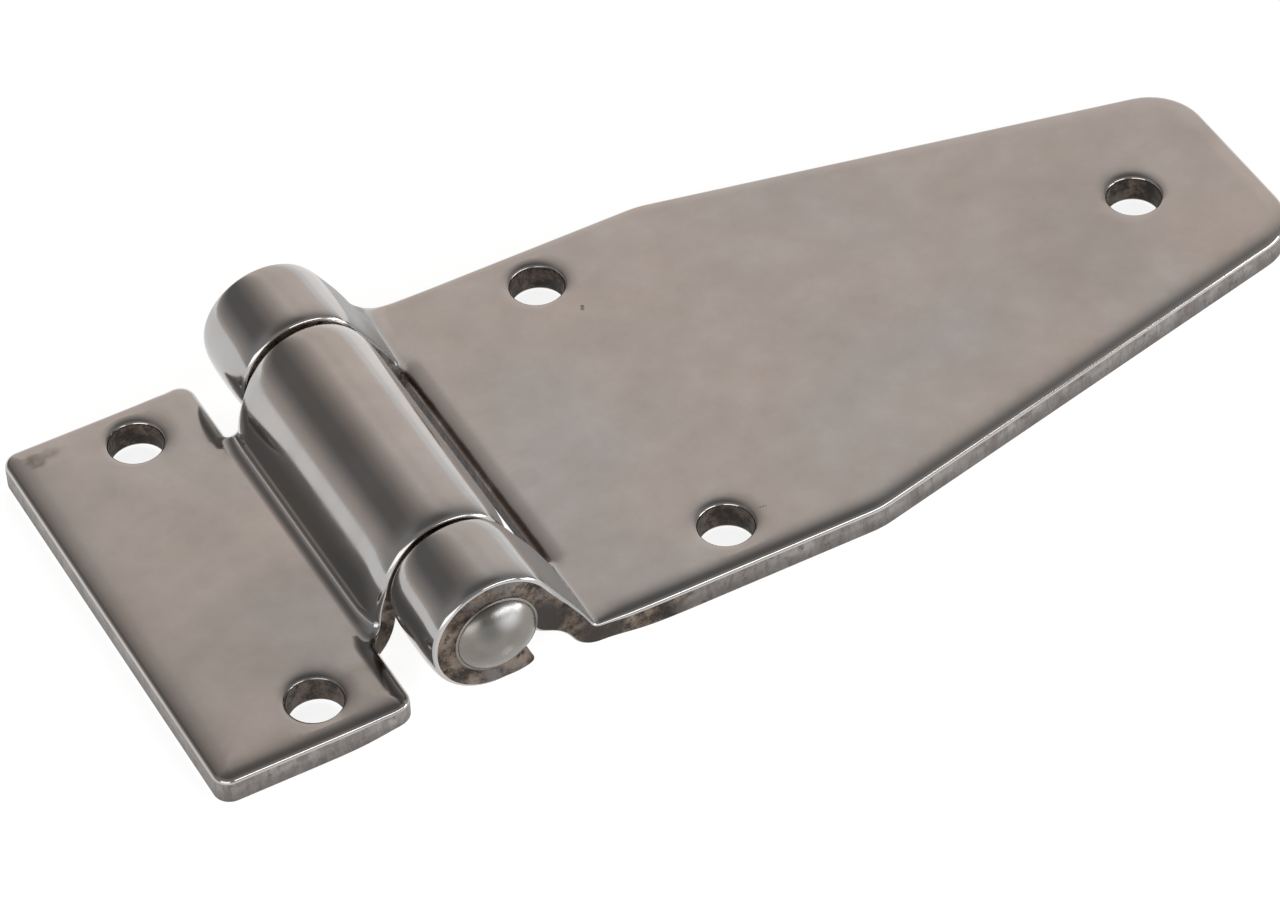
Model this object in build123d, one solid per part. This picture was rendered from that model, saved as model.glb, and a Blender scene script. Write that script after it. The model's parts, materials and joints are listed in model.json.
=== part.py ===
# Strap hinge bent and rolled from polished stainless sheet, with a riveted pin.
# The short leaf carries the middle knuckle, the long tapered strap leaf carries the two end knuckles.
# Frame: X runs from the short leaf to the strap's tip, Y along the pin, Z up from the mounting plane.
# The origin lies midway between the short leaf's two screw holes, on the mounting plane.
import os
from math import asin, cos, degrees, radians, sin

from build123d import *

# Sheet and overall sizes (mm)
sheet = 4.0
leaf_width = 58.0
edge_round = 0.8
under_round = 0.25

# Pin
pin_diameter = 8.0
pin_clearance = 0.05
head_overhang = 1.0
head_rim_height = 0.9
head_dome_height = 1.1
head_edge_round = 0.35

# Knuckles
middle_knuckle_length = 35.4
knuckle_gap = 0.6
knuckle_lift = 1.05
roll_opening_angle = 55.0

# Screw holes
hole_diameter = 6.4
hole_round = 0.5

# Short leaf, measured from the pin axis, with its holes set in from the leaf's sides
short_hole_distance = 19.5
short_hole_inset = 6.0
short_length = 33.9
short_notch_clearance = 2.15
short_flank_angle = 72.0
short_bend_radius = 1.2
short_corner_radius = 2.0
notch_corner_radius = 1.5

# Strap leaf, measured from the pin axis, with its holes set in from the leaf's sides and the tip
strap_hole_distance = 31.9
strap_hole_inset = 6.4
strap_tip_hole_inset = 14.6
strap_length = 114.0
strap_taper_distance = 48.4
strap_tip_width = 27.8
strap_tip_radius = 7.0
strap_taper_blend = 12.0
strap_slot_clearance = 3.75
strap_flank_angle = 62.0
strap_bend_radius = 1.5
slot_corner_radius = 1.0

# Worked out from the sizes above
bore_radius = pin_diameter / 2 + pin_clearance
roll_radius = bore_radius + sheet
pin_height = knuckle_lift + roll_radius
knuckle_top = pin_height + roll_radius
slot_width = middle_knuckle_length + 2 * knuckle_gap
short_hole_spacing = leaf_width - 2 * short_hole_inset
strap_hole_spacing = leaf_width - 2 * strap_hole_inset
strap_tip_hole_distance = strap_length - strap_tip_hole_inset
short_notch_distance = roll_radius + short_notch_clearance
strap_slot_distance = roll_radius + strap_slot_clearance
cut_margin = 2.0
cut_reach = roll_radius + cut_margin
same_place = 0.001


def leaf_section(flank_angle, bend_radius, plate_end):
    """Section across the pin: plate, bend, flank and roll, with the pin axis over x = 0.

    Returns the section, the line of its polished upper side and the line of its underside.
    """
    slope = radians(flank_angle)
    axis = Vector(0, pin_height)
    outward = Vector(sin(slope), cos(slope))
    bend_height = sheet + bend_radius
    bend_x = (roll_radius + bend_radius - (bend_height - pin_height) * cos(slope)) / sin(slope)
    bend_centre = Vector(bend_x, bend_height)
    roll_start = 90 - flank_angle
    roll_turn = 360 - roll_opening_angle - roll_start
    with BuildLine() as upper_side:
        plate_top = Line((plate_end, sheet), (bend_x, sheet))
        top_bend = CenterArc(bend_centre, bend_radius, 270, -flank_angle)
        Line(top_bend @ 1, axis + outward * roll_radius)
        outside = CenterArc(axis, roll_radius, roll_start, roll_turn)
    with BuildLine() as underside:
        plate_under = Line((plate_end, 0), (bend_x, 0))
        under_bend = CenterArc(bend_centre, bend_radius + sheet, 270, -flank_angle)
        Line(under_bend @ 1, axis + outward * bore_radius)
        inside = CenterArc(axis, bore_radius, roll_start, roll_turn)
    with BuildLine() as outline:
        add(upper_side.line)
        Line(outside @ 1, inside @ 1)
        add(underside.line)
        Line(plate_under @ 0, plate_top @ 0)
    return [Plane.XZ * drawing for drawing in (make_face(outline.line), upper_side.line, underside.line)]


def corners(sketch, x, y):
    """The corners of a flat outline at this x, on both sides of its centre line."""
    return [v for v in sketch.vertices() if abs(v.X - x) < same_place and abs(abs(v.Y) - y) < same_place]


def short_outline():
    """Plan of the short leaf before bending up its tongue, seen with the plate towards +X."""
    tongue_length = cut_reach + short_notch_distance
    plate_length = short_length - short_notch_distance
    with BuildSketch() as plan:
        with Locations((short_notch_distance - tongue_length / 2, 0)):
            Rectangle(tongue_length, middle_knuckle_length)
        with Locations((short_notch_distance + plate_length / 2, 0)):
            Rectangle(plate_length, leaf_width)
        plate_corners = corners(plan, short_length, leaf_width / 2)
        plate_corners += corners(plan, short_notch_distance, leaf_width / 2)
        fillet(plate_corners, short_corner_radius)
        fillet(corners(plan, short_notch_distance, middle_knuckle_length / 2), notch_corner_radius)
    return plan.sketch


def strap_outline():
    """Plan of the strap leaf: parallel sides, taper, rounded tip and the slot for the middle knuckle."""
    half = leaf_width / 2
    tip_half = strap_tip_width / 2
    slot_length = cut_reach + strap_slot_distance
    with BuildSketch() as plan:
        with BuildLine():
            Polyline(
                (-cut_reach, half),
                (strap_taper_distance, half),
                (strap_length, tip_half),
                (strap_length, -tip_half),
                (strap_taper_distance, -half),
                (-cut_reach, -half),
                close=True,
            )
        make_face()
        fillet(corners(plan, strap_length, tip_half), strap_tip_radius)
        fillet(corners(plan, strap_taper_distance, half), strap_taper_blend)
        with Locations((strap_slot_distance - slot_length / 2, 0)):
            Rectangle(slot_length, slot_width, mode=Mode.SUBTRACT)
        fillet(corners(plan, strap_slot_distance, slot_width / 2), slot_corner_radius)
    return plan.sketch


def side_faces(body):
    """The walls of the blank: its flat sides, its rounded corners and its screw holes."""
    flat = [f for f in body.faces().filter_by(GeomType.PLANE) if abs(f.normal_at().Z) < same_place]
    round_walls = [
        f for f in body.faces().filter_by(GeomType.CYLINDER) if f.axis_of_rotation.is_parallel(Axis.Z)
    ]
    return flat + round_walls


def side_edges(body, line):
    """The edges where the walls of the blank meet the side of the sheet drawn by this line."""
    edges = []
    for face in side_faces(body):
        for edge in face.edges():
            middle = edge @ 0.5
            if line.distance_to(Vertex(middle.X, 0, middle.Z)) < same_place:
                edges.append(edge)
    return edges


def leaf(section, upper_side, underside, plan, holes):
    """One leaf: the section drawn across the full width, trimmed to the plan, drilled and polished round."""
    body = extrude(section, amount=leaf_width / 2, both=True)
    body &= extrude(plan, amount=knuckle_top + cut_margin)
    body = body.fillet(edge_round, side_edges(body, upper_side))
    body = body.fillet(under_round, side_edges(body, underside))
    for x, y in holes:
        body -= Pos(x, y) * Cylinder(hole_diameter / 2, 2 * cut_reach)
    rims = [
        edge
        for edge in body.edges().filter_by(GeomType.CIRCLE)
        if abs(edge.arc_center.Z - sheet) < same_place and abs(edge.radius - hole_diameter / 2) < same_place
    ]
    return body.fillet(hole_round, rims)


def hinge_pin():
    """Pin along Y about the origin, with a low domed head riveted over at each end."""
    shoulder = leaf_width / 2
    head_radius = pin_diameter / 2 + head_overhang
    dome_radius = (head_radius**2 + head_dome_height**2) / (2 * head_dome_height)
    dome_half_angle = degrees(asin(head_radius / dome_radius))
    rim_top = shoulder + head_rim_height
    with BuildSketch() as half_section:
        with BuildLine():
            Polyline(
                (0, 0),
                (pin_diameter / 2, 0),
                (pin_diameter / 2, shoulder),
                (head_radius, shoulder),
                (head_radius, rim_top),
            )
            dome_centre = (0, rim_top + head_dome_height - dome_radius)
            dome = CenterArc(dome_centre, dome_radius, 90 - dome_half_angle, dome_half_angle)
            Line(dome @ 1, (0, 0))
        make_face()
        fillet(corners(half_section, head_radius, rim_top), head_edge_round)
    half_pin = revolve(half_section.sketch, Axis.Y)
    return half_pin + mirror(half_pin, Plane.XZ)


short_holes = [(short_hole_distance, side * short_hole_spacing / 2) for side in (-1, 1)]
strap_holes = [(strap_hole_distance, side * strap_hole_spacing / 2) for side in (-1, 1)]
strap_holes.append((strap_tip_hole_distance, 0))

short_section = leaf_section(short_flank_angle, short_bend_radius, short_length)
strap_section = leaf_section(strap_flank_angle, strap_bend_radius, strap_length)
short_leaf = leaf(*short_section, short_outline(), short_holes)
strap_leaf = leaf(*strap_section, strap_outline(), strap_holes)

at_pin_axis = Pos(short_hole_distance, 0, 0)
pieces = {
    "short_leaf": at_pin_axis * mirror(short_leaf, Plane.YZ),
    "strap_leaf": at_pin_axis * strap_leaf,
    "hinge_pin": at_pin_axis * Pos(0, 0, pin_height) * hinge_pin(),
}

os.makedirs("parts", exist_ok=True)
for name, piece in pieces.items():
    export_step(piece, f"parts/{name}.step")
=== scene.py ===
"""Looks of a polished strap hinge: leaves bent from sheet, sheared edges, a riveted pin, on a pale floor."""
import json
import math

import bpy
import numpy as np
from mathutils import Matrix, Vector
from mathutils.geometry import delaunay_2d_cdt


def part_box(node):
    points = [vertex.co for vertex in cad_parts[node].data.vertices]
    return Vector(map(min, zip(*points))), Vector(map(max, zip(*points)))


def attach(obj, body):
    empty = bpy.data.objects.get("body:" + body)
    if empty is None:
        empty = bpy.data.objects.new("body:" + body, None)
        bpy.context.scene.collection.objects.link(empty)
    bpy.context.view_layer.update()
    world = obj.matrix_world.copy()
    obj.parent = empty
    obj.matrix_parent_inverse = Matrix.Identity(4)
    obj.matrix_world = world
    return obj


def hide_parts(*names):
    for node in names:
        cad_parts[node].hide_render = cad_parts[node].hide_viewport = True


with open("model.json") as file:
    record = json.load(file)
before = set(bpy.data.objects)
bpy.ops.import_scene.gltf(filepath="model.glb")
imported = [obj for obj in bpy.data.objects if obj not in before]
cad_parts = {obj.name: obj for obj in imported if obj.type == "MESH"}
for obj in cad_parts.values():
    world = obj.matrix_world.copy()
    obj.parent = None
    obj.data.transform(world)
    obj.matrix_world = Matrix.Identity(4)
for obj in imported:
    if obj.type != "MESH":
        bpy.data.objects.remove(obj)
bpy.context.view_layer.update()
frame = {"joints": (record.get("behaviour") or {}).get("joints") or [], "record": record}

# Sizes in millimetres, from the frame where it holds them
MM = 0.001
mounts = {mount["name"]: mount for mount in frame["record"]["mounts"]}
pin_x, pin_y, pin_z = (value / MM for value in frame["joints"][0]["pos_m"])
short_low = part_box("short_leaf")[0] / MM
strap_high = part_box("strap_leaf")[1] / MM
pin_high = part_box("hinge_pin")[1] / MM
leaf_half = strap_high.y
roll_radius = strap_high.z - pin_z
sheet = 4.0
roll_opening = math.radians(55.0)
under_round = 0.25
bend_thinning = 0.27
thinning_reach = 5.0

# Short leaf, measured from the pin axis
short_length = pin_x - short_low.x
short_notch = 10.2
short_flank_top = math.radians(50.0)
short_flank_foot = math.radians(86.0)
short_bend = 1.7
short_corner = 2.0
notch_corner = 1.5
tongue_half = 17.7

# Strap leaf, measured from the pin axis
strap_length = strap_high.x - pin_x
strap_taper = 48.4
strap_taper_blend = 12.0
strap_tip_half = 13.9
strap_tip_radius = 7.0
strap_slot = 11.8
strap_flank_top = math.radians(57.0)
strap_flank_foot = math.radians(64.0)
strap_bend = 1.0
strap_far_bend = 5.0
strap_swelling = 0.33
swelling_place = 4.7
swelling_reach = 2.2
slot_half = 18.3
slot_corner = 1.0
roll_end_corner = 0.5

# Pin: a plain shaft and two low domed heads
pin_radius = 4.0
head_radius = pin_high.x - pin_x
head_rim = 0.15
head_lip = 0.25
lip_slope = math.radians(60.0)
dome_fullness = 0.7

# Rolled-off edge of a blanked sheet: a round at the wall, then a soft crown that fades into the flat
round_slopes = np.radians([90, 80, 70, 60, 50, 42, 34, 27, 20])
crown_slopes = np.radians([18, 15.5, 13, 11, 9.5, 8])
round_radius = 0.8
crown_reach = 1.3

# How wide that edge is, as a share of the sizes above
plate_edge = 1.05
short_knuckle_edge = 1.1
short_flank_edge = 1.35
strap_knuckle_edge = 0.85
strap_flank_edge = 0.5
slot_edge = 1.3
roll_end_edge = 0.25
hole_edge = 0.65

# Where its width changes along the sheet, from the roll's cut end or from the foot of the bend
edge_from_end = (1.0, 4.0)
edge_from_bend = (-10.0, -6.5, -1.0, 3.0)
mouth_from_bend = (-5.0, -2.5)
mouth_limit = 1.0

# Mesh spacing
plate_step = 0.9
edge_step = 1.0
roll_step = math.radians(2.5)
corner_step = math.radians(9.0)
least_corner_steps = 5
bend_rows = 14
flank_step = 0.5
wall_rows = 4
cut_rings = 1
hole_points = 96
pin_segments = 128
dome_steps = 28
clear_of_ring = 0.45
row_gap = 0.1
slope_step = 0.05

# Smallest differences that count
level_tolerance = 1e-6
merge_distance = 1e-7
same_place = 1e-9
least_rise = 1e-12

# Order of the materials on a leaf
polished_slot, sheared_slot, under_slot = range(3)

# Grime and painted shade on the cut walls, the shade darkest in the hollow under the S-bend and low on the
# near wall: centre, reach in millimetres, strength
grime_and_shade_spots = [
    ((15.0, -29.0, 9.0), 9.0, 0.95),
    ((19.5, -29.0, 9.1), 14.0, 0.62),
    ((29.0, -29.0, 4.5), 7.5, 1.3),
    ((32.0, -29.0, 2.6), 5.0, 1.75),
    ((25.0, -29.0, 8.0), 4.5, 1.9),
    ((37.0, -29.0, 1.5), 9.0, 0.8),
    ((46.0, -29.0, 1.0), 12.0, 0.42),
    ((9.5, -19.0, 2.5), 5.0, 1.2),
    ((9.5, 19.0, 2.5), 5.0, 0.8),
    ((19.5, -17.5, 9.1), 13.0, 0.9),
    ((19.5, 17.5, 9.1), 13.0, 0.9),
]

# Dark film on the polished side: centre, reach in millimetres, strength
film_spots = [
    ((-11.2, 26.0, 4.0), 2.0, 0.42),
    ((-9.3, 26.3, 4.0), 1.9, 0.42),
    ((-7.6, 26.5, 4.0), 1.8, 0.34),
    ((9.3, -19.0, 3.5), 2.4, 0.3),
]
spot_core = 0.45
plate_skin = 0.1

# Dirt and painted shade along the slot's lip beside the middle knuckle, weaker towards its corners
slot_core = 0.5
slot_reach = 1.2
slot_corner_reach = 3.0
slot_corner_loss = 0.7
slot_film_and_shade = 0.75
slot_grime_and_shade = 1.7

# Dirt in the screw holes
rim_core = 3.2
rim_reach = 4.6
hole_film = 0.25
hole_grime = 1.25

# Haze on the flanks
haze_depth = 0.6
haze_reach = 3.5
haze_rise = 0.9
haze_turn = math.radians(8.0)
short_haze = 0.55

# Stains and nicks on the plates: place and reach in millimetres, strength
stains = [
    ((107.8, -6.2, 4.0), 10.5, 0.07),
    ((114.0, 4.0, 4.0), 12.0, 0.05),
    ((5.7, -25.5, 4.0), 6.0, 0.22),
    ((3.0, -12.0, 4.0), 12.0, 0.09),
    ((-8.0, -21.0, 4.0), 14.0, 0.11),
    ((-2.0, -3.0, 4.0), 13.0, 0.05),
    ((38.0, -24.0, 4.0), 9.0, 0.06),
    ((54.0, -27.0, 4.0), 8.0, 0.06),
    ((35.3, -5.0, 4.0), 2.2, 0.06),
    ((54.1, 16.4, 4.0), 0.3, 0.7),
    ((53.9, 16.0, 4.0), 0.3, 0.6),
    ((55.3, -22.25, 4.0), 0.18, 0.4),
    ((55.6, -22.35, 4.0), 0.18, 0.5),
    ((55.9, -22.4, 4.0), 0.18, 0.5),
    ((56.2, -22.5, 4.0), 0.18, 0.5),
    ((56.5, -22.55, 4.0), 0.16, 0.4),
]

# Painted dark reflection and painted highlight on the near pin head: place and reach in millimetres, lightness
pin_painted_highlight_and_shade = [
    ((18.1, -30.6, 11.4), 2.3, 0.13),
    ((20.7, -30.1, 12.5), 2.4, 0.7),
]
pin_paint_share = 0.85

# Small turned mark off the middle of the near pin head
swirl_place = (19.9, -30.9, 7.9)
swirl_reach = 1.2
swirl_turns = 1.5

# Colours that are laid over the steel
patch_colour = (0.42, 0.385, 0.355, 1.0)
gleam_colour = (0.57, 0.555, 0.54, 1.0)
stain_colour = (0.12, 0.095, 0.08, 1.0)
haze_colour = (0.43, 0.426, 0.424, 1.0)
film_and_shade_colour = (0.13, 0.10, 0.08, 1.0)
speck_colour = (0.13, 0.105, 0.09, 1.0)
streak_and_contact_shade_colour = (0.1, 0.085, 0.076, 1.0)
pit_colour = (0.022, 0.016, 0.013, 1.0)
soot_and_shade_colour = (0.042, 0.033, 0.028, 1.0)
swirl_colour = (0.42, 0.4, 0.375, 1.0)

# Floor, in metres
floor_half = 4.0
floor_drop = 0.00002
floor_colour = (0.6, 0.6, 0.6, 1.0)
floor_glow = 0.83

# Tints of the studio
warm = (1.0, 0.918, 0.872)
neutral = (1.0, 0.985, 0.985)
cool = (0.97, 0.99, 1.01)

# Its wall behind the hinge, lit like a fan: degrees from upright towards the right, brightness, tint
wall = [
    (-100, 0.8, warm),
    (-88, 0.62, warm),
    (-80, 0.42, warm),
    (-66, 0.25, neutral),
    (-54, 0.155, neutral),
    (-30, 0.155, neutral),
    (-12, 0.28, warm),
    (4, 0.47, warm),
    (20, 0.73, warm),
    (34, 0.71, warm),
    (46, 0.78, warm),
    (62, 0.79, warm),
    (75, 0.82, warm),
    (79, 0.93, cool),
    (100, 0.95, cool),
]

# The rest of the studio: how far up a direction points, brightness
surround = [(0.0, 0.5), (0.1, 0.4), (0.4, 0.32), (0.8, 0.27), (0.93, 0.15), (1.0, 0.14)]

# How far back a direction points where the wall starts to show and where it shows fully
wall_from = 0.15
wall_full = 0.62

# Lamps: name, direction from the hinge, width and height in metres, brightness
softboxes = [
    ("left_softbox", (-0.72, -0.68, 0.20), 1.1, 0.5, 1.8),
    ("front_softbox", (0.41, -0.85, 0.33), 0.8, 0.2, 3.6),
    ("right_softbox", (0.86, -0.50, 0.10), 0.5, 0.26, 6.0),
]
lamp_distance = 1.2
lamp_target = (0.045, 0.0, 0.0)

# Camera, fitted to the photograph's 1280 by 900 frame: places in millimetres
photo_width = 1280
focal_pixels = 5803.977
camera_azimuth = math.radians(-26.353)
camera_elevation = math.radians(44.964)
camera_roll = math.radians(-3.117)
camera_shift = (-20.376, -5.089)
camera_distance = 656.794
aim_x = 29.4


class Fold:
    """The bent line of a leaf's upper side, with the pin axis over x = 0 and the plate towards +X.

    From the plate it turns up through a small bend, leans over along a gently curved flank and runs on
    round the roll. Turns are the slopes of the sheet at the top and at the foot of the flank.
    """

    def __init__(self, top_turn, foot_turn, bend, swelling=0.0):
        self.bend, self.swelling = bend, swelling
        self.top_turn, self.foot_turn = top_turn, foot_turn
        top, foot = self.spoke(top_turn), self.spoke(foot_turn)
        rise = pin_z + roll_radius * top[1] + bend * foot[1] - sheet - bend
        self.flank_radius = rise / (top[1] - foot[1])
        self.axis = np.array([0.0, pin_z])
        self.flank_centre = self.axis - (self.flank_radius - roll_radius) * top
        self.bend_centre = self.flank_centre + (self.flank_radius + bend) * foot
        self.start = float(self.bend_centre[0])
        self.bend_length = bend * foot_turn
        self.flank_length = self.flank_radius * (foot_turn - top_turn)
        self.roll_turn = 2 * math.pi - roll_opening - (math.pi / 2 - top_turn)
        self.end = self.start - self.bend_length - self.flank_length - roll_radius * self.roll_turn

    @staticmethod
    def spoke(turn):
        """The outward direction where the sheet has turned by an angle from level."""
        return np.stack([np.sin(turn), np.cos(turn)], -1)

    def thickness(self, along):
        """Share of the sheet's thickness along it: drawn thinner in the bend, pressed thicker above it."""
        middle = self.start - self.bend_length / 2
        upset = self.start - self.bend_length - self.flank_length + swelling_place
        thinner = bend_thinning * np.exp(-(((along - middle) / thinning_reach) ** 2))
        thicker = self.swelling * np.exp(-(((along - upset) / swelling_reach) ** 2))
        return 1 - thinner + thicker

    def rows(self):
        """Places along the sheet where the bend, the flank and the roll need a row of points."""
        bend_steps = np.linspace(0, self.bend_length, bend_rows)
        flank_count = max(2, round(self.flank_length / flank_step))
        flank_steps = self.bend_length + np.linspace(0, self.flank_length, flank_count + 1)[1:]
        roll_count = round(self.roll_turn / roll_step)
        roll_steps = np.linspace(0, roll_radius * self.roll_turn, roll_count + 1)[1:]
        return self.start - np.concatenate([bend_steps, flank_steps, flank_steps[-1] + roll_steps])

    def at(self, along):
        """Points and upward normals in XZ at places along the sheet."""
        bend_run = self.start - along
        flank_run = bend_run - self.bend_length
        roll_run = flank_run - self.flank_length
        bend_turn = np.clip(bend_run / self.bend, 0, self.foot_turn)
        flank_turn = np.clip(flank_run / self.flank_radius, 0, None)
        turn = np.where(roll_run > 0, self.top_turn - roll_run / roll_radius, self.foot_turn - flank_turn)
        turn = np.where(flank_run > 0, turn, bend_turn)
        normal = self.spoke(turn)
        on_plate = np.stack([along, np.full(along.shape, sheet)], -1)
        on_bend = self.bend_centre - self.bend * normal
        on_flank = self.flank_centre + self.flank_radius * normal
        on_roll = self.axis + roll_radius * normal
        point = np.where((bend_run > 0)[..., None], on_bend, on_plate)
        point = np.where((flank_run > 0)[..., None], on_flank, point)
        return np.where((roll_run > 0)[..., None], on_roll, point), normal


def edge_profile():
    """Distance in from the wall, depth below the flat and slope of each ring of the rolled-off edge."""
    join = crown_slopes[0]
    round_inset = round_radius * (1 - np.sin(round_slopes))
    round_depth = round_radius * (math.cos(join) - np.cos(round_slopes)) + crown_reach * join
    crown_inset = round_radius * (1 - math.sin(join)) + crown_reach * np.log(join / crown_slopes)
    crown_depth = crown_reach * crown_slopes
    slopes = np.concatenate([round_slopes, crown_slopes])
    return np.concatenate([round_inset, crown_inset]), np.concatenate([round_depth, crown_depth]), slopes


edge_inset, edge_depth, edge_slopes = edge_profile()
tail_slope = edge_slopes[-1]


def smooth(value, low, high):
    """0 below low, 1 above high, and a smooth step between."""
    share = np.clip((value - low) / (high - low), 0, 1)
    return share * share * (3 - 2 * share)


def straight_samples(start, end, rows):
    """Points from start up to end along one straight side, on the rows of the bent part that it crosses."""
    along_sheet = abs(end[1] - start[1]) < level_tolerance
    if not along_sheet:
        count = max(2, math.ceil(np.linalg.norm(end - start) / edge_step))
        return start + np.linspace(0, 1, count + 1)[:-1, None] * (end - start)
    low, high = sorted((start[0], end[0]))
    bent = rows[(rows > low + row_gap) & (rows < high - row_gap)]
    plate_low = max(low, rows.max())
    plate = np.empty(0)
    if high > plate_low + row_gap:
        count = max(1, math.ceil((high - plate_low) / edge_step))
        plate = np.linspace(plate_low, high, count + 1)[1:-1]
    places = np.unique(np.concatenate([bent, plate, [start[0]]]))
    if end[0] < start[0]:
        places = places[::-1]
    return np.stack([places, np.full(places.shape, start[1])], -1)


def rounded_loop(corners, rows):
    """Points and inward directions of a closed outline through (along, across, radius) corners.

    The corners go round counter-clockwise.
    """
    points, inward = [], []
    count = len(corners)
    trims, arcs = [], []
    for index, (along, across, radius) in enumerate(corners):
        here = np.array([along, across])
        before = np.array(corners[index - 1][:2]) - here
        after = np.array(corners[(index + 1) % count][:2]) - here
        before /= np.linalg.norm(before)
        after /= np.linalg.norm(after)
        half = math.acos(np.clip(np.dot(before, after), -1, 1)) / 2
        tangent = radius / math.tan(half)
        middle = before + after
        centre = here + middle / np.linalg.norm(middle) * radius / math.sin(half)
        left_turn = before[1] * after[0] - before[0] * after[1] > 0
        trims.append((here + before * tangent, here + after * tangent))
        arcs.append((centre, radius, left_turn))
    for index, (centre, radius, left_turn) in enumerate(arcs):
        entry, leave = trims[index]
        first = math.atan2(*(entry - centre)[::-1])
        last = math.atan2(*(leave - centre)[::-1])
        sweep = (last - first + math.pi) % (2 * math.pi) - math.pi
        steps = max(least_corner_steps, math.ceil(abs(sweep) / corner_step))
        for angle in first + sweep * np.arange(steps) / steps:
            ray = np.array([math.cos(angle), math.sin(angle)])
            points.append(centre + radius * ray)
            inward.append(-ray if left_turn else ray)
        side_end = trims[(index + 1) % count][0]
        side = side_end - leave
        side_inward = np.array([-side[1], side[0]]) / np.linalg.norm(side)
        for point in straight_samples(leave, side_end, rows):
            points.append(point)
            inward.append(side_inward)
    return np.array(points), np.array(inward)


def hole_loop(centre, radius):
    """A screw hole's outline, clockwise, with directions into the metal."""
    angle = -2 * math.pi * np.arange(hole_points) / hole_points
    ray = np.stack([np.cos(angle), np.sin(angle)], -1)
    return np.asarray(centre) + radius * ray, ray


def inside(points, loop):
    """Which points lie inside a closed outline."""
    x, y = points[:, 0:1], points[:, 1:2]
    nearer, further = loop, np.roll(loop, -1, 0)
    crosses = (nearer[:, 1] > y) != (further[:, 1] > y)
    rise = further[:, 1] - nearer[:, 1]
    rise[rise == 0] = least_rise
    place = nearer[:, 0] + (y - nearer[:, 1]) / rise * (further[:, 0] - nearer[:, 0])
    return ((crosses & (x < place)).sum(1) % 2) == 1


def nearest(points, loop):
    """Distance to an outline, the direction away from it and the number of its nearest point."""
    offset = points[:, None, :] - loop[None, :, :]
    distance = np.linalg.norm(offset, axis=-1)
    pick = distance.argmin(1)
    each = np.arange(len(points))
    best = distance[each, pick]
    return best, offset[each, pick] / np.maximum(best, same_place)[:, None], pick


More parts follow.
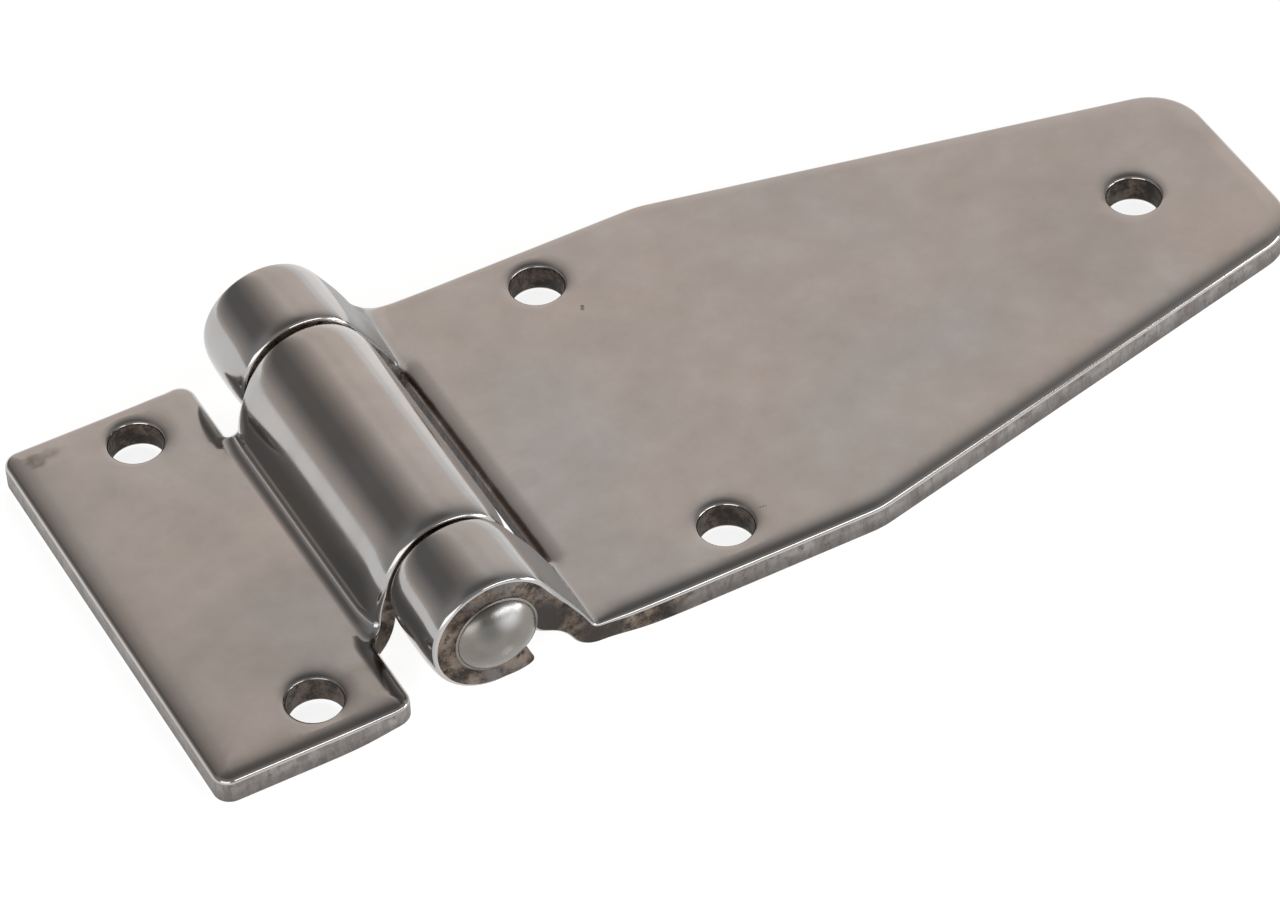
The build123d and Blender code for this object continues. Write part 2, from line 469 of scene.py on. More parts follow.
class Leaf:
    """One leaf as a flat blank with rolled-off edges and dished holes, bent along its fold.

    Two functions of the place across the leaf steer the bending: bends gives how far the sheet follows the
    fold instead of staying level, and softer how far it follows the softer fold instead.
    """

    def __init__(self, fold, soft_fold, softer, corners, holes, hole_radius, bends, edges, mirrored):
        self.fold, self.bends = fold, bends
        self.soft_fold, self.softer = soft_fold, softer
        self.holes, self.mirrored = holes, mirrored
        self.knuckle_edge, self.flank_edge, self.mouth_edge = edges
        soft_rows = np.arange(soft_fold.start, fold.start + flank_step, -flank_step)
        rows = np.concatenate([soft_rows, fold.rows()])
        self.loops = [rounded_loop(corners, rows)]
        self.loops += [hole_loop(centre, hole_radius) for centre in holes]
        self.scales = [self.edge_scale(self.loops[0][0])]
        self.scales += [np.full(hole_points, hole_edge) for _ in holes]
        self.lattice = self.inner_points(rows)

    def edge_scale(self, outline):
        """How wide the rolled-off edge is along the outline, with the wall between the tabs on its own."""
        start, end = self.fold.start, self.fold.end
        along, across = outline[:, 0], outline[:, 1]
        knuckle, flank = self.knuckle_edge, self.flank_edge
        places = [end + place for place in edge_from_end] + [start + place for place in edge_from_bend]
        sizes = [roll_end_edge, knuckle, knuckle, flank, flank, plate_edge]
        scale = np.interp(along, places, sizes)
        mouth = (1 - self.bends(across)) * smooth(along, *(start + place for place in mouth_from_bend))
        return scale + (self.mouth_edge - scale) * mouth * (along < start + mouth_limit)

    def inner_points(self, rows):
        """Points inside the edge rings: a grid over the plate, and rows over the bent part."""
        outline = self.loops[0][0]
        high = outline[:, 0].max()
        plate_along = np.arange(rows.max() + plate_step, high, plate_step)
        plate_across = np.arange(-leaf_half, leaf_half + plate_step / 2, plate_step)
        plate = np.stack(np.meshgrid(plate_along, plate_across), -1).reshape(-1, 2)
        bent = np.stack(np.meshgrid(rows, plate_across), -1).reshape(-1, 2)
        points = np.concatenate([plate, bent])
        points = points[inside(points, outline)]
        for (loop, _), scale in zip(self.loops, self.scales):
            distance, _, pick = nearest(points, loop)
            points = points[distance > scale[pick] * edge_inset[-1] + clear_of_ring]
        return points

    def relief(self, points):
        """Depth and tilt of the soft outer part of every rolled-off edge and hole dish at inner points."""
        depth = np.zeros(len(points))
        tilt = np.zeros((len(points), 2))
        for (loop, _), scale in zip(self.loops, self.scales):
            distance, away, _ = nearest(points, loop)
            size = scale.mean()
            reach = crown_reach * size
            fade = np.exp(-np.maximum(distance - size * edge_inset[-1], 0) / reach)
            depth += tail_slope * reach * fade
            tilt -= away * (tail_slope * fade)[:, None]
        return depth, tilt

    def bent(self, flat):
        """Points, upward normals and slopes across of the sheet, bent between its own and the softer fold."""
        along, across = flat[:, 0], flat[:, 1]
        point, normal = self.fold.at(along)
        soft_point, soft_normal = self.soft_fold.at(along)
        share = self.softer(across)[:, None]
        growth = (self.softer(across + slope_step) - self.softer(across - slope_step)) / (2 * slope_step)
        normal = normal + share * (soft_normal - normal)
        climb = growth * ((soft_point - point) * normal).sum(1)
        return point + share * (soft_point - point), normal, climb

    def place(self, flat, depth, tilt, facing):
        """Positions and normals in the frame of flat points (along, across) at a depth below the upper side.

        tilt leans the normal in the flat directions; facing is its share along the sheet's own normal.
        """
        along, across = flat[:, 0], flat[:, 1]
        point, normal, climb = self.bent(flat)
        level = np.stack([along, np.full(len(flat), sheet)], -1)
        past = (self.fold.start - along)[:, None] > 0
        share = np.where(past, self.bends(across)[:, None], 1.0)
        point = share * point + (1 - share) * level
        normal = share * normal + (1 - share) * np.array([0.0, 1.0])
        normal /= np.linalg.norm(normal, axis=1)[:, None]
        direction = np.stack([normal[:, 1], -normal[:, 0]], -1)
        section = point - (depth * self.fold.thickness(along))[:, None] * normal
        position = np.stack([section[:, 0], across, section[:, 1]], -1)
        lean = tilt[:, 0:1] * direction + facing[:, None] * normal
        pointing = np.stack([lean[:, 0], tilt[:, 1] - facing * climb, lean[:, 1]], -1)
        if self.mirrored:
            position[:, 0] *= -1
            pointing[:, 0] *= -1
        position[:, 0] += pin_x
        return position, pointing / np.linalg.norm(pointing, axis=1)[:, None]

    def rings(self, index, upper):
        """Flat points, depth, tilt and facing of each edge ring of one outline, from the wall inwards."""
        loop, inward = self.loops[index]
        scale = self.scales[index]
        found = []
        for inset, drop, slope in zip(edge_inset, edge_depth, edge_slopes):
            step = scale * inset
            flat = loop + inward * step[:, None]
            if upper:
                depth = scale * drop
                lean = np.full(len(loop), math.sin(slope))
                facing = np.full(len(loop), math.cos(slope))
            else:
                bite = np.clip(1 - step / under_round, 0, 1)
                depth = sheet - under_round * (1 - np.sqrt(1 - bite * bite))
                lean = bite
                facing = -np.sqrt(1 - bite * bite)
            found.append((flat, depth, -inward * lean[:, None], facing))
        return found

    def triangles(self, ring_ends):
        """Triangles inside the edge rings, as indices into ring_ends and the lattice put together."""
        points = np.concatenate(ring_ends + [self.lattice])
        edges, first = [], 0
        for end in ring_ends:
            count = len(end)
            edges += [(first + i, first + (i + 1) % count) for i in range(count)]
            first += count
        vectors = [Vector((float(x), float(y))) for x, y in points]
        within_edges = 1
        _, _, faces, origin, _, _ = delaunay_2d_cdt(vectors, edges, [], within_edges, merge_distance)
        faces = np.array([[origin[corner][0] for corner in face] for face in faces])
        middle = points[faces].mean(1)
        keep = np.full(len(faces), True)
        for end in ring_ends[1:]:
            keep &= ~inside(middle, end)
        return faces[keep]

    def mesh(self, name):
        """The leaf's mesh object, with its faces sorted into the three material slots."""
        positions, normals, faces, slots = [], [], [], []
        total = 0

        def add(flat, depth, tilt, facing):
            nonlocal total
            position, normal = self.place(flat, depth, tilt, facing)
            positions.append(position)
            normals.append(normal)
            first = total
            total += len(position)
            return first

        def strip(first, second, count, slot):
            for i in range(count):
                follow = (i + 1) % count
                faces.append((first + i, first + follow, second + follow, second + i))
                slots.append(slot)

        ring_ends = [self.rings(index, True)[-1][0] for index in range(len(self.loops))]
        inner = self.triangles(ring_ends)
        starts = {}
        for upper, slot in ((True, polished_slot), (False, under_slot)):
            pool = []
            for index, (loop, _) in enumerate(self.loops):
                count = len(loop)
                rings = [add(*ring) for ring in self.rings(index, upper)]
                starts[index, upper] = rings[0]
                for step, (low, high) in enumerate(zip(rings, rings[1:])):
                    ring_slot = sheared_slot if upper and step < cut_rings else slot
                    strip(*((low, high) if upper else (high, low)), count, ring_slot)
                pool += list(range(rings[-1], rings[-1] + count))
            if upper:
                depth, tilt = self.relief(self.lattice)
                facing = np.ones(len(self.lattice))
            else:
                depth = np.full(len(self.lattice), sheet)
                tilt = np.zeros((len(self.lattice), 2))
                facing = -np.ones(len(self.lattice))
            first = add(self.lattice, depth, tilt, facing)
            pool = np.array(pool + list(range(first, first + len(self.lattice))))
            found = pool[inner] if upper else pool[inner][:, ::-1]
            faces += [tuple(face) for face in found]
            slots += [slot] * len(found)
        for index, (loop, inward) in enumerate(self.loops):
            count = len(loop)
            top = self.scales[index] * edge_depth[0]
            foot = sheet - under_round
            above = starts[index, True]
            for row in range(1, wall_rows):
                share = row / wall_rows
                below = add(loop, top * (1 - share) + foot * share, -inward, np.zeros(count))
                strip(below, above, count, sheared_slot)
                above = below
            strip(starts[index, False], above, count, sheared_slot)
        if self.mirrored:
            faces = [face[::-1] for face in faces]
        side = -1 if self.mirrored else 1
        hole_places = [(pin_x + side * along, across) for along, across in self.holes]
        return build_mesh(name, np.concatenate(positions), np.concatenate(normals), faces, slots, hole_places)


def spotted(positions, spots):
    """The strongest of some soft spots at each point."""
    found = np.zeros(len(positions))
    for centre, reach, strength in spots:
        distance = np.linalg.norm(positions - np.array(centre), axis=1)
        found = np.maximum(found, strength * (1 - smooth(distance, spot_core * reach, reach)))
    return found


def slot_dirt_and_shade(positions):
    """How much of the dirt and painted shade along the slot's lip each point gets, from 0 to 1."""
    across = np.abs(positions[:, 1])
    from_slot = np.abs(positions[:, 0] - (pin_x + strap_slot))
    in_slot = (across < slot_half) & (positions[:, 2] < sheet + plate_skin)
    share = (1 - smooth(from_slot, slot_core, slot_reach)) * in_slot
    return share * (1 - slot_corner_loss * smooth(across, slot_half - slot_corner_reach, slot_half))


def flank_haze(positions):
    """How dull the polish is on the flanks, the strap's most of all."""
    ahead, above = positions[:, 0] - pin_x, positions[:, 2] - pin_z
    turn = np.arctan2(np.abs(ahead), above)
    outside_roll = np.hypot(ahead, above) > roll_radius - haze_depth
    on_flank = outside_roll & (np.abs(ahead) < strap_slot + haze_reach)
    on_flank = on_flank * smooth(positions[:, 2], sheet + plate_skin, sheet + haze_rise)
    strap_side = smooth(turn, strap_flank_top - haze_turn, strap_flank_top) * (ahead > 0)
    short_side = smooth(turn, short_flank_top, short_flank_top + haze_turn) * (ahead < 0)
    return on_flank * (strap_side + short_haze * short_side)


def dirt_and_painted_shade(positions, hole_places):
    """Grime and painted shade on the cut walls, and film, painted shade and haze on the polished side, as
    values at each point.
    """
    grime_and_shade, film_and_shade = spotted(positions, grime_and_shade_spots), spotted(positions, film_spots)
    near_slot = slot_dirt_and_shade(positions)
    grime_and_shade = np.maximum(grime_and_shade, slot_grime_and_shade * near_slot)
    film_and_shade = np.maximum(film_and_shade, slot_film_and_shade * near_slot)
    for x, y in hole_places:
        distance = np.hypot(positions[:, 0] - x, positions[:, 1] - y)
        near_rim = 1 - smooth(distance, rim_core, rim_reach)
        grime_and_shade = np.maximum(grime_and_shade, hole_grime * near_rim)
        film_and_shade = np.maximum(film_and_shade, hole_film * near_rim)
    return {"grime_and_shade": grime_and_shade, "film_and_shade": film_and_shade, "haze": flank_haze(positions)}


def build_mesh(name, positions, normals, faces, slots, hole_places=()):
    """A smooth-shaded mesh object from positions in millimetres, with only the points its faces use."""
    used, corners = np.unique(np.concatenate(faces), return_inverse=True)
    ends = np.cumsum([len(face) for face in faces])[:-1]
    positions, normals = positions[used], normals[used]
    mesh = bpy.data.meshes.new(name)
    mesh.from_pydata((positions * MM).tolist(), [], [face.tolist() for face in np.split(corners, ends)])
    mesh.polygons.foreach_set("use_smooth", [True] * len(faces))
    mesh.polygons.foreach_set("material_index", slots)
    mesh.normals_split_custom_set_from_vertices(normals.tolist())
    for attribute, values in dirt_and_painted_shade(positions, hole_places).items():
        mesh.attributes.new(attribute, "FLOAT", "POINT").data.foreach_set("value", values)
    mesh.update()
    piece = bpy.data.objects.new(name, mesh)
    bpy.context.scene.collection.objects.link(piece)
    return piece


def pair_of_holes(mount, sign):
    """Centres and radius of a row of two screw holes, measured from the pin axis."""
    along = sign * (mount["pos_m"][0] / MM - pin_x)
    half = mount["dims"]["spacing_y_mm"] / 2
    return [(along, -half), (along, half)], mount["dims"]["hole_r_mm"]


def short_leaf():
    """The short leaf, with the tongue that rolls into the middle knuckle."""
    fold = Fold(short_flank_top, short_flank_foot, short_bend)
    side, end = leaf_half, fold.end
    corners = [
        (short_length, -side, short_corner),
        (short_length, side, short_corner),
        (short_notch, side, short_corner),
        (short_notch, tongue_half, notch_corner),
        (end, tongue_half, roll_end_corner),
        (end, -tongue_half, roll_end_corner),
        (short_notch, -tongue_half, notch_corner),
        (short_notch, -side, short_corner),
    ]
    holes, radius = pair_of_holes(mounts["short_leaf_screws"], -1)

    def bends(across):
        return 1 - smooth(np.abs(across), tongue_half, tongue_half + notch_corner)

    edges = (short_knuckle_edge, short_flank_edge, plate_edge)
    leaf = Leaf(fold, fold, np.zeros_like, corners, holes, radius, bends, edges, mirrored=True)
    return leaf.mesh("polished_short_leaf")


def strap_leaf():
    """The strap leaf, with the two tabs that roll into the end knuckles; the far one bends more softly."""
    fold = Fold(strap_flank_top, strap_flank_foot, strap_bend, strap_swelling)
    soft_fold = Fold(strap_flank_top, strap_flank_foot, strap_far_bend, strap_swelling)
    side, end = leaf_half, fold.end
    corners = [
        (strap_length, -strap_tip_half, strap_tip_radius),
        (strap_length, strap_tip_half, strap_tip_radius),
        (strap_taper, side, strap_taper_blend),
        (end, side, roll_end_corner),
        (end, slot_half, roll_end_corner),
        (strap_slot, slot_half, slot_corner),
        (strap_slot, -slot_half, slot_corner),
        (end, -slot_half, roll_end_corner),
        (end, -side, roll_end_corner),
        (strap_taper, -side, strap_taper_blend),
    ]
    holes, radius = pair_of_holes(mounts["strap_screws"], 1)
    holes.append((mounts["strap_tip_screw"]["pos_m"][0] / MM - pin_x, 0.0))

    def bends(across):
        return smooth(np.abs(across), slot_half - slot_corner, slot_half)

    def softer(across):
        return smooth(across, slot_half, leaf_half)

    edges = (strap_knuckle_edge, strap_flank_edge, slot_edge)
    leaf = Leaf(fold, soft_fold, softer, corners, holes, radius, bends, edges, mirrored=False)
    return leaf.mesh("polished_strap_leaf")


def pin_profile():
    """Rows of radius, place along and slope, from the pin's middle to near the top of a head, and that top."""
    shoulder, top = leaf_half, pin_high.y
    rim = shoulder + head_rim
    rise = top - shoulder - head_rim
    dome_foot = head_radius - head_lip
    inwards = -math.pi / 2
    rows = [
        (pin_radius, 0.0, 0.0),
        (pin_radius, shoulder, 0.0),
        (pin_radius, shoulder, inwards),
        (head_radius, shoulder, inwards),
        (head_radius, shoulder, 0.0),
        (head_radius, rim, lip_slope),
        (dome_foot, rim, lip_slope),
    ]
    for turn in np.linspace(0, math.pi / 2, dome_steps)[:-1]:
        out, climb = math.cos(turn), math.sin(turn) ** (2 * dome_fullness)
        fall = 2 * dome_fullness * out * rise * climb
        slope = math.atan2(dome_foot * math.sin(turn) ** 2, fall) if turn > 0 else 0.0
        rows.append((dome_foot * out, rim + rise * climb, slope))
    return rows, top


def hinge_pin():
    """The pin along Y with its two heads, turned from one profile."""
    half, top = pin_profile()
    rows = [(radius, -along, -slope) for radius, along, slope in half[::-1]] + half[1:]
    angle = 2 * math.pi * np.arange(pin_segments) / pin_segments
    ring = np.stack([np.sin(angle), np.zeros(pin_segments), np.cos(angle)], -1)
    along_pin = np.array([0.0, 1.0, 0.0])
    centre = np.array([pin_x, pin_y, pin_z])
    positions, normals = [], []
    for radius, along, slope in rows:
        positions.append(centre + radius * ring + along * along_pin)
        normals.append(math.cos(slope) * ring + math.sin(slope) * along_pin)
    positions.append(np.array([centre - top * along_pin, centre + top * along_pin]))
    normals.append(np.array([-along_pin, along_pin]))
    faces = []
    for row in range(len(rows) - 1):
        if rows[row][:2] == rows[row + 1][:2]:
            continue
        for i in range(pin_segments):
            follow = (i + 1) % pin_segments
            low, high = row * pin_segments, (row + 1) * pin_segments
            faces.append((low + i, low + follow, high + follow, high + i))
    last, pole = (len(rows) - 1) * pin_segments, len(rows) * pin_segments
    for i in range(pin_segments):
        follow = (i + 1) % pin_segments
        faces.append((pole, follow, i))
        faces.append((pole + 1, last + i, last + follow))
    slots = [0] * len(faces)
    return build_mesh("satin_pin", np.concatenate(positions), np.concatenate(normals), faces, slots)


class Nodes:
    """Short helpers for building one material's or the world's nodes."""

    def __init__(self, tree):
        self.tree = tree
        self.tree.nodes.clear()

    def add(self, kind, inputs=None, **settings):
        """A new node with its settings, and its inputs given as values or linked to other sockets."""
        node = self.tree.nodes.new(kind)
        for name, value in settings.items():
            setattr(node, name, value)
        for socket, value in (inputs or {}).items():
            self.put(node.inputs[socket], value)
        return node

    def put(self, socket, value):
        """Link another socket to this one, or set it to a constant."""
        if isinstance(value, bpy.types.NodeSocket):
            self.tree.links.new(value, socket)
        else:
            socket.default_value = value

    def place(self):
        """The place on the piece, in metres."""
        return self.add("ShaderNodeTexCoord").outputs["Object"]

    def attribute(self, name):
        """A value kept at the mesh's points."""
        return self.add("ShaderNodeAttribute", attribute_name=name).outputs["Fac"]

    def math(self, operation, first, second=0.0, clamp=False):
        """One step of arithmetic on one or two values."""
        node = self.add("ShaderNodeMath", {0: first, 1: second}, operation=operation, use_clamp=clamp)
        return node.outputs[0]

    def plus(self, base, value, gain):
        """A value times a gain, added to a base."""
        return self.math("ADD", base, self.math("MULTIPLY", value, gain))

    def ramp(self, value, stops, smooth_steps=False):
        """A colour or grey level read off at a value, from (place, colour or level) stops."""
        node = self.add("ShaderNodeValToRGB", {"Fac": value})
        ramp = node.color_ramp
        ramp.interpolation = "EASE" if smooth_steps else "LINEAR"
        while len(ramp.elements) < len(stops):
            ramp.elements.new(0.5)
        for element, (place, colour) in zip(ramp.elements, stops):
            element.position = place
            level = (colour, colour, colour) if isinstance(colour, float) else colour
            element.color = (*level, 1.0)
        return node.outputs["Color"]

    def mix(self, share, first, second):
        """The first colour, with the second laid over it by a share."""
        node = self.add("ShaderNodeMix", data_type="RGBA", blend_type="MIX")
        self.put(node.inputs["Factor"], share)
        self.put(node.inputs["A"], first)
        self.put(node.inputs["B"], second)
        return node.outputs["Result"]

    def noise(self, vector, scale, detail, rough):
        """Cloudy noise from 0 to 1."""
        inputs = {"Vector": vector, "Scale": scale, "Detail": detail, "Roughness": rough}
        return self.add("ShaderNodeTexNoise", inputs).outputs["Fac"]

    def stretched(self, vector, scale):
        """Places scaled by a factor for each axis, for noise drawn out along one of them."""
        return self.add("ShaderNodeMapping", {"Vector": vector, "Scale": scale}).outputs["Vector"]

    def eased(self, value, ends, results):
        """A value carried smoothly from one pair of ends to a pair of results."""
        inputs = {"Value": value, "From Min": ends[0], "From Max": ends[1]}
        inputs.update({"To Min": results[0], "To Max": results[1]})
        return self.add("ShaderNodeMapRange", inputs, interpolation_type="SMOOTHSTEP").outputs["Result"]

    def spot(self, vector, place, radius):
        """1 at a place given in millimetres, fading to 0 at its radius."""
        centre = [value * MM for value in place]
        offset = self.add("ShaderNodeVectorMath", {0: vector, 1: centre}, operation="DISTANCE")
        return self.eased(offset.outputs["Value"], (0.0, radius * MM), (1.0, 0.0))

    def bump(self, height, strength, distance):
        """The surface direction with a little relief, its distance in metres."""
        inputs = {"Height": height, "Strength": strength, "Distance": distance}
        return self.add("ShaderNodeBump", inputs).outputs["Normal"]


def new_material(name):
    """An empty node material and the helpers for its nodes."""
    material = bpy.data.materials.new(name)
    material.use_nodes = True
    return material, Nodes(material.node_tree)


def finish_material(nodes, **inputs):
    """The shader that a material ends in, with its inputs named by words joined by _."""
    shader = nodes.add("ShaderNodeBsdfPrincipled")
    for name, value in inputs.items():
        nodes.put(shader.inputs[name.replace("_", " ")], value)
    nodes.add("ShaderNodeOutputMaterial", {"Surface": shader.outputs["BSDF"]})


def polished_steel():
    """Worn mirror polish: cloudy patches, stains, a brown film that by the slot is also painted shade, fine
    scuffs and haze on the flanks.
    """
    material, nodes = new_material("polished_stainless")
    place = nodes.place()
    film_and_shade = nodes.attribute("film_and_shade")
    haze = nodes.attribute("haze")
    wide = nodes.noise(place, 38.0, 3.0, 0.55)
    cloud = nodes.noise(place, 160.0, 6.0, 0.62)
    scuff = nodes.noise(nodes.stretched(place, (1.0, 0.12, 1.0)), 900.0, 4.0, 0.6)
    colour = nodes.ramp(wide, [
        (0.32, (0.53, 0.487, 0.453)),
        (0.5, (0.515, 0.486, 0.464)),
        (0.68, (0.49, 0.481, 0.473)),
    ])
    colour = nodes.mix(nodes.ramp(cloud, [(0.45, 0.0), (0.75, 0.45)]), colour, patch_colour)
    colour = nodes.mix(nodes.ramp(cloud, [(0.28, 0.5), (0.45, 0.0)]), colour, gleam_colour)
    for spot_place, reach, share in stains:
        stained = nodes.ramp(nodes.spot(place, spot_place, reach), [(0.0, 0.0), (0.25, share)])
        colour = nodes.mix(stained, colour, stain_colour)
    colour = nodes.mix(haze, colour, haze_colour)
    # The brown film is partly painted shade along the slot's lip beside the middle knuckle
    edge = nodes.plus(film_and_shade, nodes.math("SUBTRACT", cloud, 0.5), 0.9)
    dirty_and_shaded = nodes.ramp(edge, [(0.2, 0.0), (0.75, 1.0)], smooth_steps=True)
    dirty_and_shaded = nodes.math("MULTIPLY", dirty_and_shaded, nodes.ramp(film_and_shade, [(0.0, 0.0), (0.12, 1.0)]))
    colour = nodes.mix(dirty_and_shaded, colour, film_and_shade_colour)
    rough = nodes.ramp(cloud, [(0.3, 0.09), (0.5, 0.12), (0.75, 0.20)])
    rough = nodes.plus(rough, dirty_and_shaded, 0.25)
    rough = nodes.math("ADD", rough, nodes.ramp(haze, [(0.6, 0.0), (1.0, 0.32)]))
    metal = nodes.plus(1.0, haze, -0.25)
    relief = nodes.bump(nodes.plus(wide, scuff, 0.03), 0.35, 0.0001)
    finish_material(nodes, Base_Color=colour, Metallic=metal, Roughness=rough, Normal=relief)
    return material


def sheared_steel():
    """Cut walls: mid grey with upright streaks and specks, darker towards the foot as a torn zone and painted
    contact shade, and brown-black grime and painted shade.
    """
    material, nodes = new_material("sheared_stainless")
    place = nodes.place()
    grime_and_shade = nodes.attribute("grime_and_shade")
    streaks = nodes.noise(nodes.stretched(place, (1.0, 1.0, 0.2)), 1100.0, 5.0, 0.6)
    patches = nodes.noise(place, 330.0, 6.0, 0.65)
    specks = nodes.noise(place, 700.0, 9.0, 0.72)
    blotches = nodes.noise(place, 340.0, 9.0, 0.74)
    clean = nodes.ramp(patches, [
        (0.3, (0.17, 0.153, 0.143)),
        (0.5, (0.265, 0.247, 0.237)),
        (0.7, (0.36, 0.345, 0.336)),
    ])
    clean = nodes.mix(nodes.ramp(specks, [(0.57, 0.0), (0.65, 0.8)]), clean, speck_colour)
    clean = nodes.mix(nodes.ramp(streaks, [(0.40, 0.4), (0.52, 0.0)]), clean, streak_and_contact_shade_colour)
    # Darker towards the foot of each wall: partly the torn zone of the cut, partly painted contact shade where
    # the wall meets the floor
    height = nodes.add("ShaderNodeSeparateXYZ", {0: place}).outputs["Z"]
    torn_zone_and_contact_shade = nodes.ramp(nodes.math("DIVIDE", height, sheet * MM), [(0.0, 0.6), (0.35, 0.3), (0.5, 0.0)])
    clean = nodes.mix(torn_zone_and_contact_shade, clean, streak_and_contact_shade_colour)
    crust_and_shade = nodes.ramp(blotches, [
        (0.40, (0.018, 0.013, 0.010)),
        (0.47, (0.075, 0.053, 0.039)),
        (0.53, (0.19, 0.143, 0.108)),
        (0.62, (0.31, 0.25, 0.2)),
    ])
    crust_and_shade = nodes.mix(nodes.ramp(specks, [(0.38, 0.0), (0.46, 1.0)]), pit_colour, crust_and_shade)
    # Above 1 the grime turns near-black: soot and painted shade, as in the hollow under the S-bend
    soot_and_shade = nodes.math("MULTIPLY", nodes.math("SUBTRACT", grime_and_shade, 1.0, clamp=True), 1.1, clamp=True)
    crust_and_shade = nodes.mix(soot_and_shade, crust_and_shade, soot_and_shade_colour)
    edge = nodes.plus(grime_and_shade, nodes.math("SUBTRACT", patches, 0.5), 1.6)
    dirty_and_shaded = nodes.ramp(edge, [(0.3, 0.0), (0.75, 1.0)], smooth_steps=True)
    dirty_and_shaded = nodes.math("MULTIPLY", dirty_and_shaded, nodes.ramp(grime_and_shade, [(0.0, 0.0), (0.15, 1.0)]))
    colour = nodes.mix(dirty_and_shaded, clean, crust_and_shade)
    rough = nodes.plus(nodes.ramp(streaks, [(0.3, 0.36), (0.7, 0.5)]), dirty_and_shaded, 0.15)
    metal = nodes.plus(1.0, dirty_and_shaded, -0.6)
    relief = nodes.bump(nodes.plus(streaks, specks, 0.5), 0.45, 0.0002)
    finish_material(nodes, Base_Color=colour, Metallic=metal, Roughness=rough, Normal=relief)
    return material


def underside_steel():
    """The hidden side of the sheet: plain mill finish with a little grain."""
    material, nodes = new_material("underside_stainless")
    grain = nodes.noise(nodes.stretched(nodes.place(), (0.15, 1.0, 1.0)), 900.0, 4.0, 0.6)
    colour = nodes.ramp(grain, [(0.3, (0.45, 0.43, 0.41)), (0.7, (0.55, 0.53, 0.51))])
    rough = nodes.ramp(grain, [(0.3, 0.3), (0.7, 0.4)])
    finish_material(nodes, Base_Color=colour, Metallic=1.0, Roughness=rough)
    return material


def satin_steel():
    """The pin: finely scuffed, with a painted dark reflection, a painted highlight and a turned mark on its
    near head.
    """
    material, nodes = new_material("satin_stainless")
    place = nodes.place()
    grain = nodes.noise(place, 1300.0, 5.0, 0.6)
    smear = nodes.noise(place, 300.0, 3.0, 0.5)
    colour = nodes.ramp(smear, [(0.3, (0.2, 0.185, 0.166)), (0.7, (0.255, 0.238, 0.214))])
    # Paints a dark reflection and a highlight onto the near head as darker and lighter colour
    for spot_place, reach, level in pin_painted_highlight_and_shade:
        share = nodes.math("MULTIPLY", nodes.spot(place, spot_place, reach), pin_paint_share)
        colour = nodes.mix(share, colour, (level, level, level, 1.0))
    swirl = nodes.spot(place, swirl_place, swirl_reach)
    colour = nodes.mix(nodes.math("MULTIPLY", swirl, 0.5), colour, swirl_colour)
    rough = nodes.ramp(grain, [(0.3, 0.25), (0.7, 0.32)])
    turns = nodes.math("SINE", nodes.math("MULTIPLY", swirl, swirl_turns * 2 * math.pi))
    turned = nodes.math("MULTIPLY", turns, swirl)
    relief = nodes.bump(nodes.plus(nodes.math("MULTIPLY", grain, 0.25), turned, 2.5), 0.25, 0.0001)
    finish_material(nodes, Base_Color=colour, Metallic=1.0, Roughness=rough, Normal=relief)
    return material


def pale_floor():
    """A pale floor under the hinge that shows as white and keeps the hinge's shadow."""
    mesh = bpy.data.meshes.new("floor")
    signs = [(-1, -1), (1, -1), (1, 1), (-1, 1)]
    corners = [(x * floor_half, y * floor_half, -floor_drop) for x, y in signs]
    mesh.from_pydata(corners, [], [(0, 1, 2, 3)])
    floor = bpy.data.objects.new("floor", mesh)
    bpy.context.scene.collection.objects.link(floor)
    material, nodes = new_material("pale_floor")
    path = nodes.add("ShaderNodeLightPath").outputs
    seen = nodes.math("ADD", path["Is Camera Ray"], path["Is Glossy Ray"])
    seen = nodes.math("ADD", seen, path["Is Transmission Ray"], clamp=True)
    strength = nodes.math("MULTIPLY", seen, floor_glow)
    diffuse = nodes.add("ShaderNodeBsdfDiffuse", {"Color": floor_colour})
    glow = nodes.add("ShaderNodeEmission", {"Color": (1.0, 1.0, 1.0, 1.0), "Strength": strength})
    both = nodes.add("ShaderNodeAddShader", {0: diffuse.outputs[0], 1: glow.outputs[0]})
    nodes.add("ShaderNodeOutputMaterial", {"Surface": both.outputs[0]})
    mesh.materials.append(material)


def studio_world():
    """A studio with a warm grey wall behind, lighter to the right, dark overhead and in front."""
    world = bpy.data.worlds.new("studio")
    bpy.context.scene.world = world
    world.use_nodes = True
    nodes = Nodes(world.node_tree)
    direction = nodes.add("ShaderNodeTexCoord").outputs["Generated"]
    parts = nodes.add("ShaderNodeSeparateXYZ", {0: direction}).outputs
    around = nodes.math("ARCTAN2", parts["X"], parts["Z"])
    share = nodes.math("ADD", nodes.math("DIVIDE", around, 2 * math.pi), 0.5)
    stops = []
    for degrees, level, tint in wall:
        stops.append((degrees / 360 + 0.5, tuple(level * part for part in tint)))
    back = nodes.eased(parts["Y"], (wall_from, wall_full), (0.0, 1.0))
    colour = nodes.mix(back, nodes.ramp(parts["Z"], surround), nodes.ramp(share, stops))
    background = nodes.add("ShaderNodeBackground", {"Color": colour, "Strength": 1.0})
    nodes.add("ShaderNodeOutputWorld", {"Surface": background.outputs[0]})


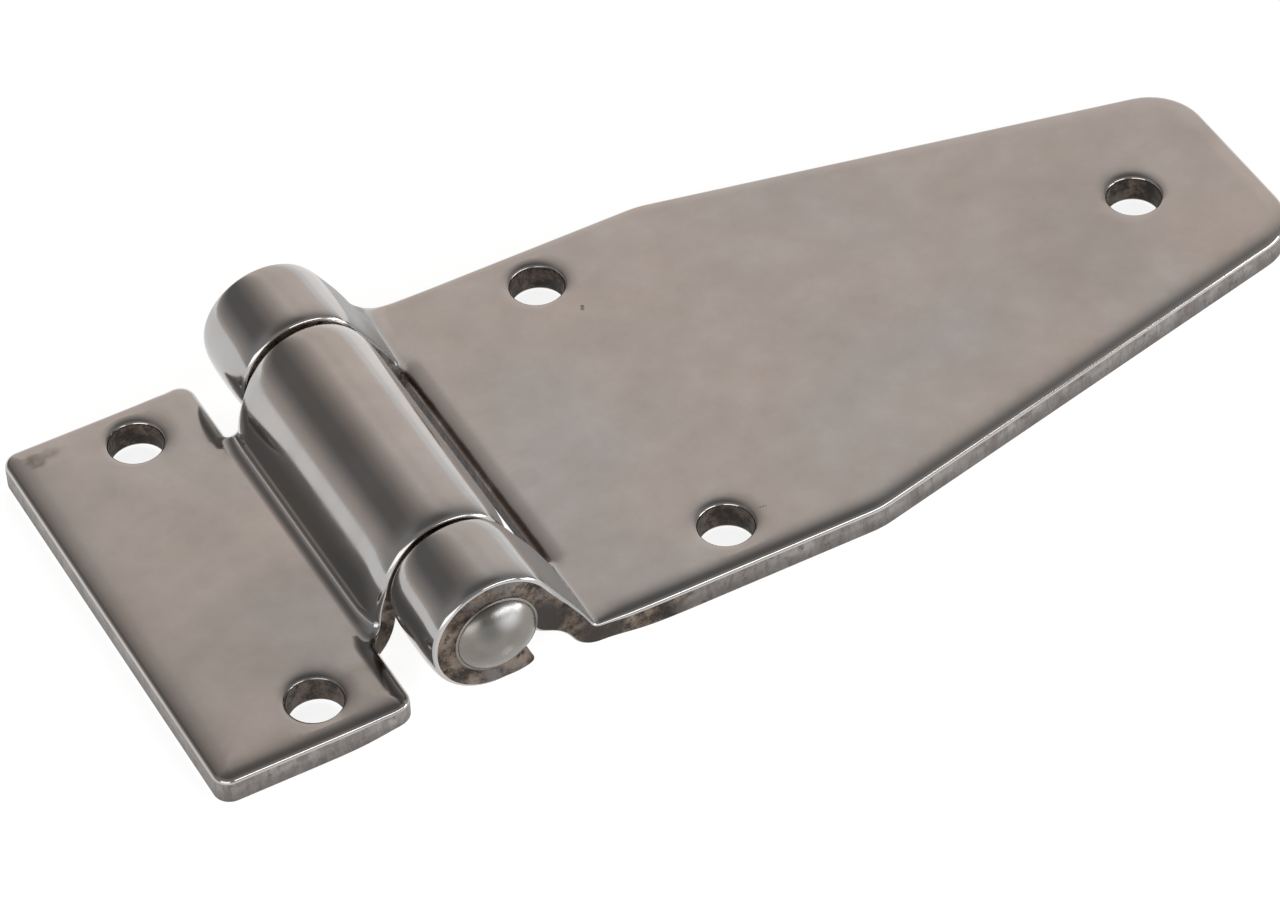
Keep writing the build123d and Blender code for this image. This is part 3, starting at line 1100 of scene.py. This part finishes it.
def softbox(name, direction, width, height, level):
    """A rectangular lamp that faces the hinge, with the brightness its surface shows in a reflection."""
    data = bpy.data.lights.new(name, "AREA")
    data.shape = "RECTANGLE"
    data.size, data.size_y = width, height
    data.energy = level * math.pi * width * height
    lamp = bpy.data.objects.new(name, data)
    way = Vector(direction).normalized()
    lamp.location = Vector(lamp_target) + way * lamp_distance
    lamp.rotation_mode = "QUATERNION"
    lamp.rotation_quaternion = way.to_track_quat("Z", "Y")
    lamp.visible_camera = False
    bpy.context.scene.collection.objects.link(lamp)


def photo_camera():
    """The camera that took the photograph."""
    back = Vector((
        math.sin(camera_azimuth) * math.cos(camera_elevation),
        -math.cos(camera_azimuth) * math.cos(camera_elevation),
        math.sin(camera_elevation),
    ))
    level = Vector((math.cos(camera_azimuth), math.sin(camera_azimuth), 0.0))
    upright = back.cross(level)
    right = level * math.cos(camera_roll) + upright * math.sin(camera_roll)
    up = upright * math.cos(camera_roll) - level * math.sin(camera_roll)
    aim = Vector((aim_x, 0.0, 0.0))
    place = aim - camera_shift[0] * right - camera_shift[1] * up + camera_distance * back
    data = bpy.data.cameras.new("photo_camera")
    data.lens = focal_pixels * data.sensor_width / photo_width
    camera = bpy.data.objects.new("photo_camera", data)
    turn = Matrix((right, up, back)).transposed().to_4x4()
    camera.matrix_world = Matrix.Translation(place * MM) @ turn
    bpy.context.scene.collection.objects.link(camera)
    bpy.context.scene.camera = camera


polished, sheared, underside, satin = polished_steel(), sheared_steel(), underside_steel(), satin_steel()
for make, body, node, slot, materials in (
    (short_leaf, "frame_side", "short_leaf", "polished_steel", (polished, sheared, underside)),
    (strap_leaf, "door_side", "strap_leaf", "polished_steel", (polished, sheared, underside)),
    (hinge_pin, "door_side", "hinge_pin", "satin_steel", (satin,)),
):
    piece = make()
    for material in materials:
        piece.data.materials.append(material)
    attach(piece, body)
    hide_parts(node)

pale_floor()
studio_world()
for lamp_values in softboxes:
    softbox(*lamp_values)
photo_camera()
bpy.context.scene.view_settings.view_transform = "Standard"

bpy.context.view_layer.update()
